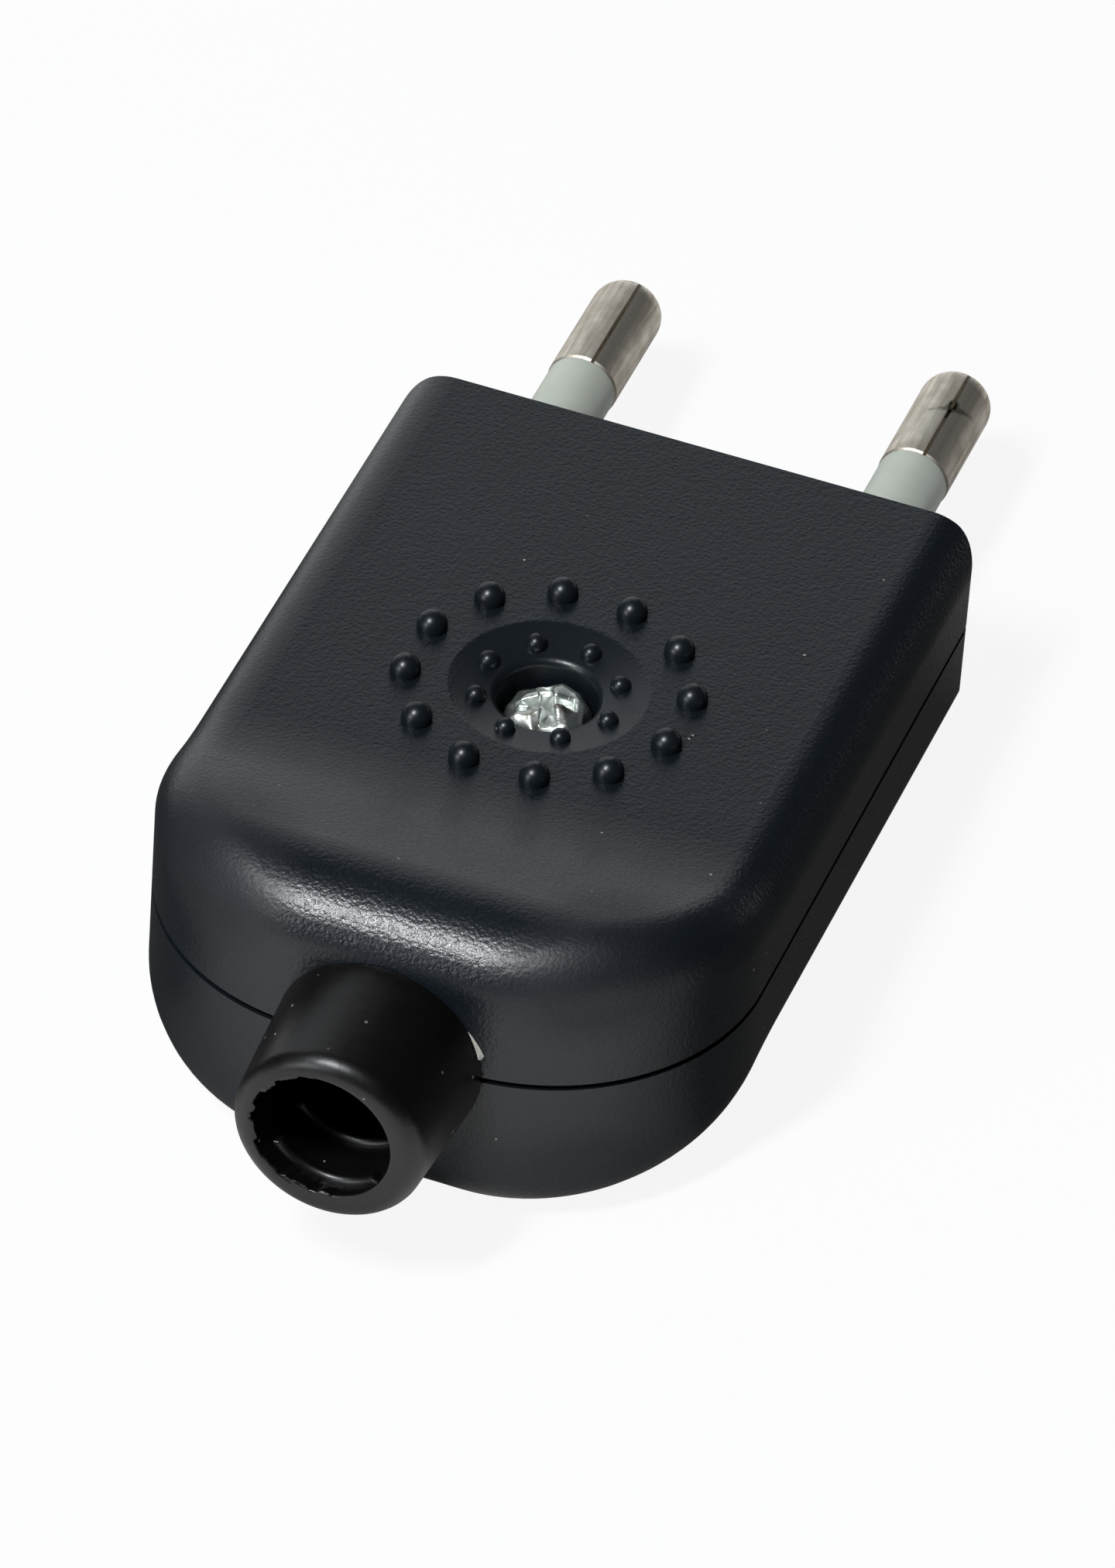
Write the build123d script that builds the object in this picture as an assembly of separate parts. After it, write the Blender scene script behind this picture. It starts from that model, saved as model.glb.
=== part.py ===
"""Two-pin plug that is wired by hand: two moulded covers, sleeved pins, a cord guard and their screws.

Millimetres. The origin is midway between the pins, on their axes, in the face they leave the body by.
+Y runs out along the pins, +Z to the face with the cover screw, and the covers part at z = 0.
"""
from build123d import *

import os
from math import cos, radians, sin, sqrt, tan

# Body
half_width = 16.25
body_length = 45.1
upper_thickness = 6.1
lower_thickness = 6.8
corner_radius = 11.9
pin_corner_radius = 1.5
ramp_start = 32.05
ramp_angle = 15.0
ramp_blend = 18.0
crest_end_angle = 25.0
upper_crest_radius = 4.6
upper_edge_round = 2.8
lower_crest_radius = 3.2
lower_edge_round = 3.0
cavity_round = 0.8
wall = 2.0
pin_wall = 3.0
parting_gap = 0.17
parting_depth = 0.6

# Pins and sleeves
pin_spacing = 19.0
pin_diameter = 4.0
pin_reach = 17.7
pin_tip_round = 1.5
pin_shoulder = 0.1
seam_width = 0.2
seam_depth = 0.5
seam_angle = 15.5
sleeve_diameter = 3.66
sleeve_reach = 9.4
neck_diameter = 2.8
head_diameter = 6.5
head_length = 11.0
head_flat = 2.0
wire_hole_diameter = 2.6
wire_hole_depth = 7.5
seat_thickness = 1.4
rear_stop = 1.2
holder_width = 2.0

# Cover screw, nut and the dished place round the screw head
screw_place = 21.75
screw_diameter = 3.0
screw_head_diameter = 4.6
screw_head_height = 1.9
screw_head_depth = 1.3
screw_well_diameter = 5.4
screw_post_diameter = 9.6
dish_diameter = 10.5
dish_depth = 0.65
dish_rim_round = 0.5
well_rim_round = 0.4
nut_across_flats = 5.5
nut_height = 2.4
nut_depth = 0.5
cross_slot_length = 2.9
cross_slot_width = 0.8
cross_slot_depth = 0.9

# Grip bumps
outer_bump_count = 12
outer_bump_circle = 14.9
outer_bump_diameter = 1.64
outer_bump_stem = 0.2
outer_bump_turn = 15.0
inner_bump_count = 8
inner_bump_circle = 7.6
inner_bump_diameter = 1.1
inner_bump_stem = 0.08
inner_bump_turn = 15.0

# Terminal and clamp screws
terminal_screw_diameter = 2.5
terminal_head_diameter = 4.4
terminal_head_height = 1.4
clamp_screw_diameter = 2.8
clamp_head_diameter = 4.8
clamp_head_height = 1.6
slot_width = 0.7
slot_depth = 0.7
head_rounding = 0.45

# Cord guard
guard_reach = 7.5
guard_root_diameter = 11.1
guard_mouth_diameter = 10.3
guard_mouth_round = 1.0
guard_lip_round = 0.2
guard_bore = 7.5
guard_groove_diameter = 9.6
guard_flange_diameter = 12.0
guard_flange = 1.6
ridge_height = 0.4
ridge_width = 0.7
ridge_places = (1.5, 4.6)

# Cord clamp
clamp_width = 4.0
clamp_end = 2.6
clamp_thickness = 2.2
clamp_arch = 6.0
clamp_arch_thickness = 1.3
clamp_level = 0.5
clamp_post_diameter = 5.6

# Clearances
slide_fit = 0.1
post_gap = 0.2
guard_fit = 0.05
clamp_gap = 0.6
clamp_side_gap = 0.5

# Derived places
pin_radius = pin_diameter / 2
head_radius = head_diameter / 2
pin_x = (-pin_spacing / 2, pin_spacing / 2)
roof = upper_thickness - wall
floor = wall - lower_thickness
head_start = -pin_wall
head_end = head_start - head_length
terminal_place = head_end + wire_hole_depth / 2
screw_top = upper_thickness - screw_head_depth
screw_seat = screw_top - screw_head_height
nut_face = -lower_thickness + nut_depth
guard_end = -body_length - guard_reach
flange_start = -body_length + wall
flange_end = flange_start + guard_flange
clamp_back = flange_end + clamp_gap
clamp_place = clamp_back + clamp_width / 2
clamp_from_corner = corner_radius - body_length - clamp_back
cavity_corner_radius = corner_radius - wall
cavity_at_clamp = half_width - corner_radius + sqrt(cavity_corner_radius**2 - clamp_from_corner**2)
clamp_span = 2 * (cavity_at_clamp - clamp_side_gap - clamp_end)
cavity_crest_radius = upper_crest_radius - wall


def rod(diameter, start, end, x=0.0, z=0.0):
    """A round bar along Y from start to end."""
    bar = Cylinder(diameter / 2, abs(end - start), rotation=(90, 0, 0))
    return Pos(x, (start + end) / 2, z) * bar


def post(diameter, low, high, x=0.0, y=0.0):
    """An upright round bar from low to high."""
    return Pos(x, y, (low + high) / 2) * Cylinder(diameter / 2, high - low)


def block(x, y, z, width, length, height):
    """A box with its middle at x, y and its underside at z."""
    return Pos(x, y, z + height / 2) * Box(width, length, height)


def side_profile(inset, thickness, crest):
    """An upper half seen from the side: a flat, then a ramp up to a rounded crest at the cable end."""
    ramp = radians(ramp_angle)
    turn = radians(crest_end_angle)
    back = -body_length + inset
    flat = thickness - inset
    foot = -ramp_start - inset * tan(ramp / 2)
    crest_y = back + crest * cos(turn)
    ramp_top_y = crest_y + crest * sin(ramp)
    ramp_top_z = flat + (foot - ramp_top_y) * tan(ramp)
    crest_z = ramp_top_z - crest * cos(ramp)
    ramp_top = (ramp_top_y, ramp_top_z)
    crest_end = (back, crest_z + crest * sin(turn))
    lines = Polyline((back, 0), (0, 0), (0, flat), (foot, flat), ramp_top)
    over = ThreePointArc(ramp_top, (crest_y, crest_z + crest), crest_end)
    face = make_face([*lines.edges(), over, Line(crest_end, (back, 0))])
    bend = face.vertices().sort_by_distance((foot, flat))[0]
    return fillet(bend, ramp_blend + inset)


def half_form(inset, front, thickness, crest, rounding):
    """An upper half of the body, drawn in by inset all round and starting at y = -front."""
    back = body_length - inset
    plan = Pos(0, -(front + back) / 2) * Rectangle(2 * (half_width - inset), back - front)
    plan = fillet(plan.vertices().sort_by(Axis.Y)[:2], corner_radius - inset)
    upright = extrude(plan, amount=body_length)
    form = upright & extrude(Plane.YZ * side_profile(inset, thickness, crest), amount=half_width, both=True)
    crossing = form.edges().filter_by(Axis.X).filter_by(lambda e: e.center().Y > -back + slide_fit)
    upright_edges = form.edges().filter_by(Axis.Z)
    ground = form.edges().group_by(Axis.Z)[0]
    pin_end = form.edges().group_by(Axis.Y)[-1]
    return fillet(form.edges() - crossing - upright_edges - ground - pin_end, rounding)


def parting_step(plan):
    """The narrow step round a half's open edge that leaves a dark line where the covers meet."""
    outline = fillet(plan.vertices().sort_by(Axis.Y)[:2], corner_radius)
    return extrude(outline - offset(outline, -parting_depth), amount=parting_gap)


def plain_half(thickness, crest, rounding):
    """A half shell with the notches that the sleeves and the cord guard leave by."""
    plan = Pos(0, -body_length / 2) * Rectangle(2 * half_width, body_length)
    plan = fillet(plan.vertices().sort_by(Axis.Y)[2:], pin_corner_radius)
    form = half_form(0, 0, thickness, crest, rounding) & extrude(plan, amount=body_length)
    form -= parting_step(plan)
    shell = form - half_form(wall, pin_wall, thickness, cavity_crest_radius, cavity_round)
    for x in pin_x:
        shell -= rod(sleeve_diameter + 2 * slide_fit, wall, -pin_wall - wall, x)
    shell -= rod(guard_groove_diameter + 2 * guard_fit, -body_length - wall, flange_end)
    shell -= rod(guard_flange_diameter + 2 * guard_fit, flange_start, flange_end + slide_fit)
    return shell


def bump(diameter, stem, level):
    """A round-topped grip bump on a short stem, rooted below level."""
    dome = Pos(0, 0, level + stem) * Sphere(diameter / 2)
    return dome + post(diameter, level - diameter / 4, level + stem)


def ring_of(count, circle, turn, piece):
    """Copies of piece about the screw, the first one turn degrees from +Y."""
    angles = [90 - turn - index * 360 / count for index in range(count)]
    spots = [Vector(circle / 2, 0).rotate(Axis.Z, angle) for angle in angles]
    return [Pos(spot.X, spot.Y - screw_place, spot.Z) * piece for spot in spots]


def rim(shape, diameter, level):
    """The round edge of that diameter about the screw at that level."""
    return shape.edges().sort_by_distance((0, -screw_place - diameter / 2, level))[0]


def cross_slots(length, width, depth, top):
    """Two crossed slots cut down from top."""
    slots = block(0, 0, top - depth, length, width, 2 * depth)
    return slots + block(0, 0, top - depth, width, length, 2 * depth)


def pan_screw(diameter, cap_diameter, cap_height, seat, tip):
    """A screw on the Z axis with a rounded head that sits at seat and a shank down to tip."""
    cap = post(cap_diameter, seat, seat + cap_height)
    cap = fillet(cap.edges().group_by(Axis.Z)[-1], cap_height * head_rounding)
    return cap + post(diameter, tip, seat)


# Upper cover
upper_cover = plain_half(upper_thickness, upper_crest_radius, upper_edge_round)
upper_cover += post(screw_post_diameter, post_gap, upper_thickness - dish_depth, 0, -screw_place)
for x in pin_x:
    holder_place = head_start - holder_width
    holder = block(x, holder_place, head_radius / 2, head_diameter, holder_width, roof - wall / 2)
    upper_cover += holder - rod(head_diameter + 2 * slide_fit, head_start, head_end, x)
dish = Cone(screw_well_diameter / 2, dish_diameter / 2, dish_depth)
upper_cover -= Pos(0, -screw_place, upper_thickness - dish_depth / 2) * dish
upper_cover -= post(screw_well_diameter, screw_seat, upper_thickness, 0, -screw_place)
upper_cover -= post(screw_diameter + 2 * slide_fit, 0, upper_thickness, 0, -screw_place)
upper_cover = fillet(rim(upper_cover, dish_diameter, upper_thickness), dish_rim_round)
upper_cover = fillet(rim(upper_cover, screw_well_diameter, upper_thickness - dish_depth), well_rim_round)
slope = dish_depth / (dish_diameter - screw_well_diameter)
inner_bump_level = upper_thickness - slope * (dish_diameter - inner_bump_circle)
outer_bump = bump(outer_bump_diameter, outer_bump_stem, upper_thickness)
inner_bump = bump(inner_bump_diameter, inner_bump_stem, inner_bump_level)
upper_cover += ring_of(outer_bump_count, outer_bump_circle, outer_bump_turn, outer_bump)
upper_cover += ring_of(inner_bump_count, inner_bump_circle, inner_bump_turn, inner_bump)

# Lower cover
lower_cover = mirror(plain_half(lower_thickness, lower_crest_radius, lower_edge_round), about=Plane.XY)
lower_cover += post(screw_post_diameter, floor - wall / 2, -post_gap, 0, -screw_place)
lower_cover -= post(screw_diameter + 2 * slide_fit, -lower_thickness, 0, 0, -screw_place)
nut_outline = RegularPolygon(nut_across_flats / 2 + slide_fit, 6, major_radius=False)
lower_cover -= Pos(0, -screw_place, -lower_thickness) * extrude(nut_outline, amount=nut_depth + nut_height)
saddle_length = head_length + rear_stop + slide_fit
saddle_width = head_diameter + 2 * seat_thickness
saddle_foot = floor - wall / 2
for x in pin_x:
    saddle = block(x, head_start - saddle_length / 2, saddle_foot, saddle_width, saddle_length, -saddle_foot)
    saddle -= rod(head_diameter + 2 * slide_fit, head_start + slide_fit, head_end - slide_fit, x)
    saddle -= rod(wire_hole_diameter + 2 * slide_fit, head_end, head_end - 2 * rear_stop, x)
    lower_cover += saddle
clamp_x = (-clamp_span / 2, clamp_span / 2)
inside = half_form(wall / 2, wall, lower_thickness, cavity_crest_radius, cavity_round)
inside = mirror(inside, about=Plane.XY)
inside += block(0, clamp_place, 0, 2 * clamp_span, clamp_span, clamp_level)
for x in clamp_x:
    lower_cover += post(clamp_post_diameter, -2 * lower_thickness, clamp_level, x, clamp_place) & inside
    lower_cover -= post(clamp_screw_diameter, floor, clamp_level, x, clamp_place)


def contact_pin(x):
    """A contact pin with its rounded tip, its neck and its drilled terminal head."""
    tip = rod(pin_diameter, sleeve_reach, pin_reach)
    tip = chamfer(tip.edges().group_by(Axis.Y)[0], pin_shoulder)
    tip = fillet(tip.edges().group_by(Axis.Y)[-1], pin_tip_round)
    seam = block(0, pin_reach / 2, pin_radius - seam_depth, seam_width, pin_reach, pin_radius)
    tip -= Rot(0, seam_angle, 0) * seam
    pin = tip + rod(neck_diameter, head_start, sleeve_reach)
    head = rod(head_diameter, head_start, head_end)
    head -= block(0, terminal_place, head_flat, head_diameter, wire_hole_depth, head_diameter)
    head -= rod(wire_hole_diameter, head_end, head_end + wire_hole_depth)
    head -= post(terminal_screw_diameter, 0, head_diameter, 0, terminal_place)
    return Pos(x, 0, 0) * (pin + head)


def pin_sleeve(x):
    """The sleeve on the neck of a pin."""
    return rod(sleeve_diameter, head_start, sleeve_reach, x) - rod(neck_diameter, head_start, sleeve_reach, x)


def terminal_screw(x):
    """The screw that clamps a conductor in a pin's head."""
    slot_floor = head_flat + terminal_head_height - slot_depth
    screw = pan_screw(terminal_screw_diameter, terminal_head_diameter, terminal_head_height, head_flat, 0)
    screw -= block(0, 0, slot_floor, terminal_head_diameter, slot_width, 2 * slot_depth)
    return Pos(x, terminal_place, 0) * screw


# Cover screw and nut
cover_screw = pan_screw(screw_diameter, screw_head_diameter, screw_head_height, screw_seat, nut_face)
cover_screw -= cross_slots(cross_slot_length, cross_slot_width, cross_slot_depth, screw_top)
cover_screw = Pos(0, -screw_place, 0) * cover_screw
nut = extrude(RegularPolygon(nut_across_flats / 2, 6, major_radius=False), amount=nut_height)
cover_nut = Pos(0, -screw_place, nut_face) * nut
cover_nut -= post(screw_diameter, nut_face, nut_face + nut_height, 0, -screw_place)

# Cord guard, turned about Y
outline = Polygon(
    (guard_bore / 2, flange_end),
    (guard_flange_diameter / 2, flange_end),
    (guard_flange_diameter / 2, flange_start),
    (guard_groove_diameter / 2, flange_start),
    (guard_groove_diameter / 2, -body_length),
    (guard_root_diameter / 2, -body_length),
    (guard_mouth_diameter / 2, guard_end),
    (guard_bore / 2, guard_end),
    align=None,
)
mouth = outline.vertices().sort_by(Axis.Y)[:2].sort_by(Axis.X)
outline = fillet(mouth[1], guard_mouth_round)
lip = outline.vertices().sort_by_distance((guard_bore / 2, guard_end))[0]
outline = fillet(lip, guard_lip_round)
cord_guard = revolve(outline, axis=Axis.Y)
for place in ridge_places:
    near = guard_end + place - ridge_width / 2
    far = near + ridge_width
    ridge = rod(guard_bore + ridge_height, near, far) - rod(guard_bore - 2 * ridge_height, near, far)
    cord_guard += ridge

# Cord clamp, drawn across the cord and extruded along it
bar_length = clamp_span + 2 * clamp_end
bar = Pos(0, clamp_level + clamp_thickness / 2) * Rectangle(bar_length, clamp_thickness)
arch = Circle(clamp_arch / 2 + clamp_arch_thickness)
above = Pos(0, clamp_level + clamp_arch) * Rectangle(bar_length, 2 * clamp_arch)
section = (bar + (arch & above)) - Circle(clamp_arch / 2)
cord_clamp = Pos(0, clamp_place, 0) * extrude(Plane.XZ * section, amount=clamp_width / 2, both=True)
for x in clamp_x:
    cord_clamp -= post(clamp_screw_diameter + 2 * slide_fit, 0, clamp_arch, x, clamp_place)


def clamp_screw(x):
    """A screw that holds the clamp on its post."""
    seat = clamp_level + clamp_thickness
    screw = pan_screw(clamp_screw_diameter, clamp_head_diameter, clamp_head_height, seat, floor + slide_fit)
    slot_floor = seat + clamp_head_height - slot_depth
    screw -= block(0, 0, slot_floor, clamp_head_diameter, slot_width, 2 * slot_depth)
    return Pos(x, clamp_place, 0) * screw


pieces = {
    "upper_cover": upper_cover,
    "lower_cover": lower_cover,
    "left_pin": contact_pin(pin_x[0]),
    "right_pin": contact_pin(pin_x[1]),
    "left_pin_sleeve": pin_sleeve(pin_x[0]),
    "right_pin_sleeve": pin_sleeve(pin_x[1]),
    "left_terminal_screw": terminal_screw(pin_x[0]),
    "right_terminal_screw": terminal_screw(pin_x[1]),
    "cover_screw": cover_screw,
    "cover_nut": cover_nut,
    "cord_guard": cord_guard,
    "cord_clamp": cord_clamp,
    "left_clamp_screw": clamp_screw(clamp_x[0]),
    "right_clamp_screw": clamp_screw(clamp_x[1]),
}

os.makedirs("parts", exist_ok=True)
for name, shape in pieces.items():
    export_step(shape, f"parts/{name}.step")
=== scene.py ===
"""A two-pin plug that is wired by hand, finished on its frame and set on a white table, as an add-on."""
from math import atan2, cos, hypot, pi, radians, sin
from random import Random

import bpy
from mathutils import Matrix, Vector


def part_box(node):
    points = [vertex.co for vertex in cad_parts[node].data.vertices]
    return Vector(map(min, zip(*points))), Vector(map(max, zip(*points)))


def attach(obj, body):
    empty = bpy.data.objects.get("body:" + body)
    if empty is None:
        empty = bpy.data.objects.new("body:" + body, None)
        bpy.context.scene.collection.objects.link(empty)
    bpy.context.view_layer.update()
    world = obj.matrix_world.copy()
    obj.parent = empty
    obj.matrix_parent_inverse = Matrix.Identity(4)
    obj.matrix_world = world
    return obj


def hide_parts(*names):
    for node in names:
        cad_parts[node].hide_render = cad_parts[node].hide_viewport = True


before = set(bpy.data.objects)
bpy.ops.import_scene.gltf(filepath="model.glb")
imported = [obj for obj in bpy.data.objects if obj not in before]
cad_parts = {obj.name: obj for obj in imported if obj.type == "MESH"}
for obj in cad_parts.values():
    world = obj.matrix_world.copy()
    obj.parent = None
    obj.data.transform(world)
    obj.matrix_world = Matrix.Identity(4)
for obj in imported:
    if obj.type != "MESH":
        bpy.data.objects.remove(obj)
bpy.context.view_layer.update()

bl_info = {
    "name": "Two-pin plug",
    "version": (1, 0, 0),
    "blender": (4, 5, 0),
    "location": "View3D > Sidebar > Plug",
    "description": "Finishes a two-pin plug that is wired by hand and sets it on a white table",
    "category": "Object",
}

MM = 0.001
WELD = 0.004 * MM

# How many steps each turn or arc is made of
SLEEVE_STEPS = 72
SLEEVE_EDGE_STEPS = 3
GUARD_STEPS = 180
MOUTH_STEPS = 8
LIP_STEPS = 4
RIDGE_STEPS = 8
SLIVER_STEPS = 12
SCREW_STEPS = 64
HEAD_STEPS = 6

# Edges that turn by more than these angles, in degrees, stay crisp
SLEEVE_SHARP = 35
GUARD_SHARP = 50
SLIVER_SHARP = 60

# How far the upper edge of the screw's head turns over, in degrees
HEAD_TURN = 80

# The torn edge of the guard's hole: how many tears, their half widths as shares of a third of their spacing,
# their pulls as shares of the tear's depth, and how far the edge and the hole reach in lip radii
TEARS = 9
TEAR_SEED = 7
TEAR_WIDTHS = (0.5, 1.6)
TEAR_PULLS = (-1.0, 0.45)
TEAR_PART = 3
FRAY_SEED = 3
EDGE_DEPTH = 1.5
EDGE_REACH = 0.7
HOLE_REACH = 1.2

# Shares of the sliver's width and of the screw's crown
SLIVER_TIP = 1 / 3
CROWN_SHOULDER = 0.8

# How the screw's head is softened and dented, and the texture's value that leaves a point in its place
SOFTNESS = 0.5
SOFTENINGS = 6
LAST_SOFTENINGS = 4
UNMOVED = 0.5

# Places of a Mix node's sockets, several of which share a name
MIX_SHARE = 0
MIX_FIRST = 6
MIX_SECOND = 7
MIX_COLOUR = 2

# How strongly each plastic bends light
POLYAMIDE_IOR = 1.5
PVC_IOR = 1.52

# How much finer noise each noise holds
DETAIL = 3.0
GRAIN_DETAIL = 2.0
SMUDGE_DETAIL = 5.0

# Height of the grain where the mould is polished, and the ragged rim of a blot
LEVEL = 0.5
BLOT_CORE = 1.1
BLOT_RIM = 1.7


def linear(hex_code):
    """The linear RGBA of an sRGB hex value."""
    channels = [int(hex_code[i:i + 2], 16) / 255 for i in (1, 3, 5)]
    return (*[c / 12.92 if c <= 0.04045 else ((c + 0.055) / 1.055) ** 2.4 for c in channels], 1.0)


def colour(name, description, hex_code):
    """A colour that the user can change."""
    return bpy.props.FloatVectorProperty(
        name=name, description=description, default=linear(hex_code), size=4, min=0, max=1, subtype="COLOR"
    )


def length(name, description, millimetres):
    """A length that the user can change, given in millimetres."""
    return bpy.props.FloatProperty(
        name=name, description=description, default=millimetres * MM, precision=5, unit="LENGTH"
    )


def position(name, description, millimetres):
    """A place, or a reach along each axis, that the user can change, given in millimetres."""
    return bpy.props.FloatVectorProperty(
        name=name, description=description, default=Vector(millimetres) * MM, precision=5,
        subtype="TRANSLATION", unit="LENGTH"
    )


def panel(name, description, millimetres):
    """A lamp's width and height, given in millimetres."""
    return bpy.props.FloatVectorProperty(
        name=name, description=description, default=Vector(millimetres) * MM, size=2, unit="LENGTH"
    )


def direction(name, description, towards):
    """A direction that the user can change."""
    return bpy.props.FloatVectorProperty(
        name=name, description=description, default=towards, precision=4, subtype="DIRECTION"
    )


def angle(name, description, degrees):
    """An angle that the user can change, given in degrees."""
    return bpy.props.FloatProperty(
        name=name, description=description, default=radians(degrees), subtype="ANGLE", unit="ROTATION"
    )


def share(name, description, value):
    """A share from 0 to 1 that the user can change."""
    return bpy.props.FloatProperty(
        name=name, description=description, default=value, min=0, max=1, subtype="FACTOR"
    )


def power(name, description, watts):
    """A lamp's power."""
    return bpy.props.FloatProperty(name=name, description=description, default=watts, min=0, unit="POWER")


class PlugCovers(bpy.types.PropertyGroup):
    """Finish of the two moulded covers."""

    charcoal: colour("Charcoal", "Colour of the moulded plastic", "#141A20")
    deep: colour("Deep charcoal", "Darker clouds in the plastic", "#10151A")
    clouds: length("Clouds", "Size of the darker clouds", 7)
    grain: length("Grain", "Size of the moulded grain", 0.2)
    grain_height: length("Grain height", "Height of the moulded grain", 0.034)
    hollow: share("Hollows", "Roughness in the hollows of the grain", 0.21)
    peak: share("Peaks", "Roughness on the peaks of the grain", 0.39)
    polished: share("Polished", "What polishing adds to the grain's mean roughness", 0.03)
    dish: length("Dish", "Radius of the polished dish round the screw", 5.25)
    dish_edge: length("Dish edge", "Over what width the dish's polish fades", 0.63)
    grip: length("Grip", "Radius about the screw that holds all the polished bumps", 8.4)
    top: length("Top", "Level that only the bumps rise above", 6.13)
    dulled: share("Dulled", "What the crest's ends add to the roughness", 0.28)
    crest_end: position("Crest end", "Middle of either end of the crest, as distances from the origin",
                        (10.5, 42.5, 6.0))
    crest_end_reach: position("Crest end reach", "How far the crest's dull end reaches", (6.0, 7.0, 4.0))
    crest_end_core: share("Crest end core", "Share of that reach that is dull all through", 0.45)
    dust: colour("Dust", "Specks of dust", "#A9A9A4")
    dust_spacing: length("Dust spacing", "From one place for a speck to the next", 1.6)
    dust_size: length("Dust size", "Diameter of a speck", 0.14)
    dust_share: share("Dust share", "Share of those places that has a speck", 0.3)
    clamp_roughness: share("Clamp roughness", "Roughness of the clamp inside", 0.45)
    clamp_grain_height: length("Clamp grain height", "Height of the clamp's grain", 0.01)


class PlugPins(bpy.types.PropertyGroup):
    """Finish of the contact pins."""

    nickel: colour("Nickel", "Plating of the pins", "#F0E9DB")
    worn: colour("Worn nickel", "Duller streaks and smudges in the plating", "#B3A997")
    roughness: share("Roughness", "Roughness of the clean plating", 0.44)
    worn_roughness: share("Worn roughness", "Roughness of the dullest plating", 0.6)
    streak: length("Streak", "Width of the streaks along the pins", 0.3)
    drawn: share("Drawn", "Width of a streak as a share of its length", 0.07)
    streak_height: length("Streak height", "Height of the streaks", 0.006)
    streak_low: share("Streak low", "Noise value at which a streak is dullest", 0.34)
    streak_high: share("Streak high", "Noise value at which the plating is clear of streaks", 0.6)
    streaked: share("Streaked", "Share of the clean plating left in the dullest streak", 0.4)
    smudge: length("Smudge", "Size of the smudges", 1.3)
    smudge_low: share("Smudge low", "Noise value at which a smudge is dullest", 0.36)
    smudge_high: share("Smudge high", "Noise value at which the plating is clear of smudges", 0.6)
    smudged: share("Smudged", "Share of the clean plating left in the dullest smudge", 0.6)
    tarnish: colour("Tarnish", "Greenish mark on the right pin", "#23241B")
    rags: length("Rags", "Size of the mark's ragged edge", 0.4)
    spot: position("Spot", "Middle of the mark, in the pin's seam", (10.05, 13.9, 1.9))
    spot_reach: position("Spot reach", "How far the middle of the mark reaches", (0.3, 0.5, 0.8))
    arms: position("Arms", "Middle of the mark's two arms", (10.1, 13.65, 1.6))
    arms_reach: position("Arms' reach", "How far the arms reach", (1.25, 0.2, 1.0))
    arms_turn: angle("Arms' turn", "How far the arms are turned across the pin", 27)
    arms_share: share("Arms' strength", "How dark the arms are beside the spot", 0.6)


class PlugSleeve(bpy.types.PropertyGroup):
    """Sizes and finish of the pins' sleeves."""

    outside: length("Outside", "Diameter of a sleeve outside the covers", 3.88)
    bore: length("Bore", "Diameter of the hole for the pin's neck", 2.8)
    flare: length("Flare", "Over what length a sleeve widens as it leaves the covers", 0.3)
    edge: length("Edge", "Rounding of a sleeve's end", 0.1)
    plastic: colour("Plastic", "Grey-green plastic of the sleeves", "#D0D5C9")
    handled: colour("Handled", "Greyer patches on the sleeves", "#C0C5B9")
    patches: length("Patches", "Size of the greyer patches", 1.8)
    roughness: share("Roughness", "Roughness of the plastic", 0.42)
    milky: share("Milky", "Share of the light that passes into the plastic", 0.15)
    milky_depth: length("Milky depth", "How deep that light goes", 0.4)
    ripple: length("Ripple", "Size of the faint ripple", 0.3)
    ripple_height: length("Ripple height", "Height of the faint ripple", 0.008)


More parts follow.
